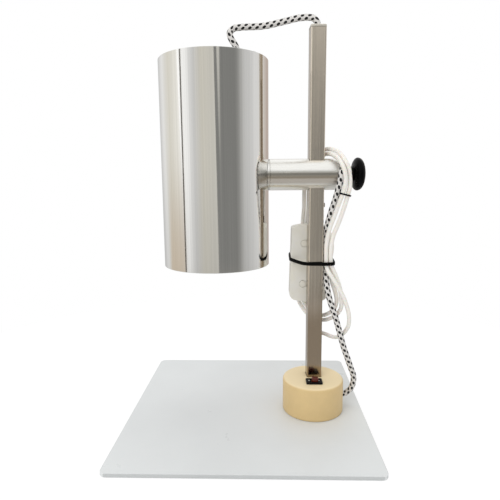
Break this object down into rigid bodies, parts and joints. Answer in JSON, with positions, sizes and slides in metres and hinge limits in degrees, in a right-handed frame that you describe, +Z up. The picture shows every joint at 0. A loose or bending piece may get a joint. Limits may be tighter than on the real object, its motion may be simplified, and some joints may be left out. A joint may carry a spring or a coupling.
{
  "type": "infrared heat therapy lamp",
  "caption": "Lamp with a polished cylindrical shade on a clamp arm that slides on a square post, with a rocker switch in the hub, a flat base plate and a tied hank of lead.",
  "frame": {"origin": "centre of the base plate's underside", "axes": "+Z up, +X from the lamp side to the knob side, +Y away from the side with the switch"},
  "size_m": [0.3048, 0.3048, 0.5044],
  "materials": {
    "plate": "satin",
    "hub": "matt",
    "post": "brushed",
    "satin": "satin",
    "mirror": "polished",
    "zinc": "zinc plated",
    "contact": "nickel plated",
    "black": "gloss",
    "grey": "matt",
    "dolly": "gloss",
    "box": "fine grained",
    "button": "matt",
    "white": "satin",
    "braid": "braided, with black flecks",
    "tie": "satin",
    "ceramic": "glazed",
    "glass": "frosted red"
  },
  "bodies": {
    "base": {"base_plate": "plate", "hub": "hub", "hub_screw_1": "zinc", "hub_screw_2": "zinc", "post": "post", "post_foot_plug": "zinc", "post_screw": "zinc", "stop_screw": "zinc", "post_cap": "zinc", "switch_body": "black", "switch_tab_left": "contact", "switch_tab_right": "contact", "supply_gland": "black", "post_cable": "braid", "lamp_cord": "braid", "supply_lead": "braid"},
    "rocker": {"switch_dolly": "dolly"},
    "arm": {"arm_tube": "satin", "guide_sleeve": "grey", "arm_end_cap": "satin", "pivot_plug": "zinc", "pivot_washer": "grey", "pivot_bolt": "zinc", "pivot_nut": "zinc", "pivot_spring_washer": "zinc", "box_front_shell": "box", "box_back_shell": "box", "box_cap_upper": "button", "box_cap_lower": "button", "box_gland_top": "black", "box_gland_bottom": "white", "terminal_block": "grey", "mains_lead": "white", "mains_plug": "white", "tie_big": "tie", "tie_thin": "tie"},
    "pad": {"pressure_pad": "grey"},
    "knob": {"knob_stud": "zinc", "knob": "black"},
    "head": {"shade": "mirror", "pivot_saddle": "zinc", "pivot_inner_saddle": "zinc", "top_plate": "mirror", "lamp_gland": "black", "holder_nipple": "zinc", "nipple_locknut": "zinc", "lampholder": "ceramic", "bulb_cap": "contact", "bulb": "glass"}
  },
  "joints": [
    {"name": "arm_height", "type": "slide", "parent": "base", "child": "arm", "axis": [0, 0, 1], "range_m": [-0.015, 0.145], "deforming": ["supply_lead", "lamp_cord"]},
    {"name": "lamp_tilt", "type": "hinge", "parent": "arm", "child": "head", "pos_m": [0.0893, 0.0012, 0.3143], "axis": [0.9986, 0.0523, 0], "range_deg": [-90, 90], "deforming": ["lamp_cord"]},
    {"name": "pad_slide", "type": "slide", "parent": "arm", "child": "pad", "axis": [0.9986, 0.0523, 0], "range_m": [0, 0.0026]},
    {"name": "knob_turn", "type": "hinge", "parent": "pad", "child": "knob", "pos_m": [0.0893, 0.0012, 0.3143], "axis": [0.9986, 0.0523, 0], "range_deg": [0, 720]},
    {"name": "switch_rock", "type": "hinge", "parent": "base", "child": "rocker", "pos_m": [0.0879, -0.0237, 0.0471], "axis": [0, 1, 0], "range_deg": [-24, 0]}
  ],
  "couplings": [
    {"joint": "pad_slide", "follows": "knob_turn", "m_per_rad": 0.00019894}
  ]
}
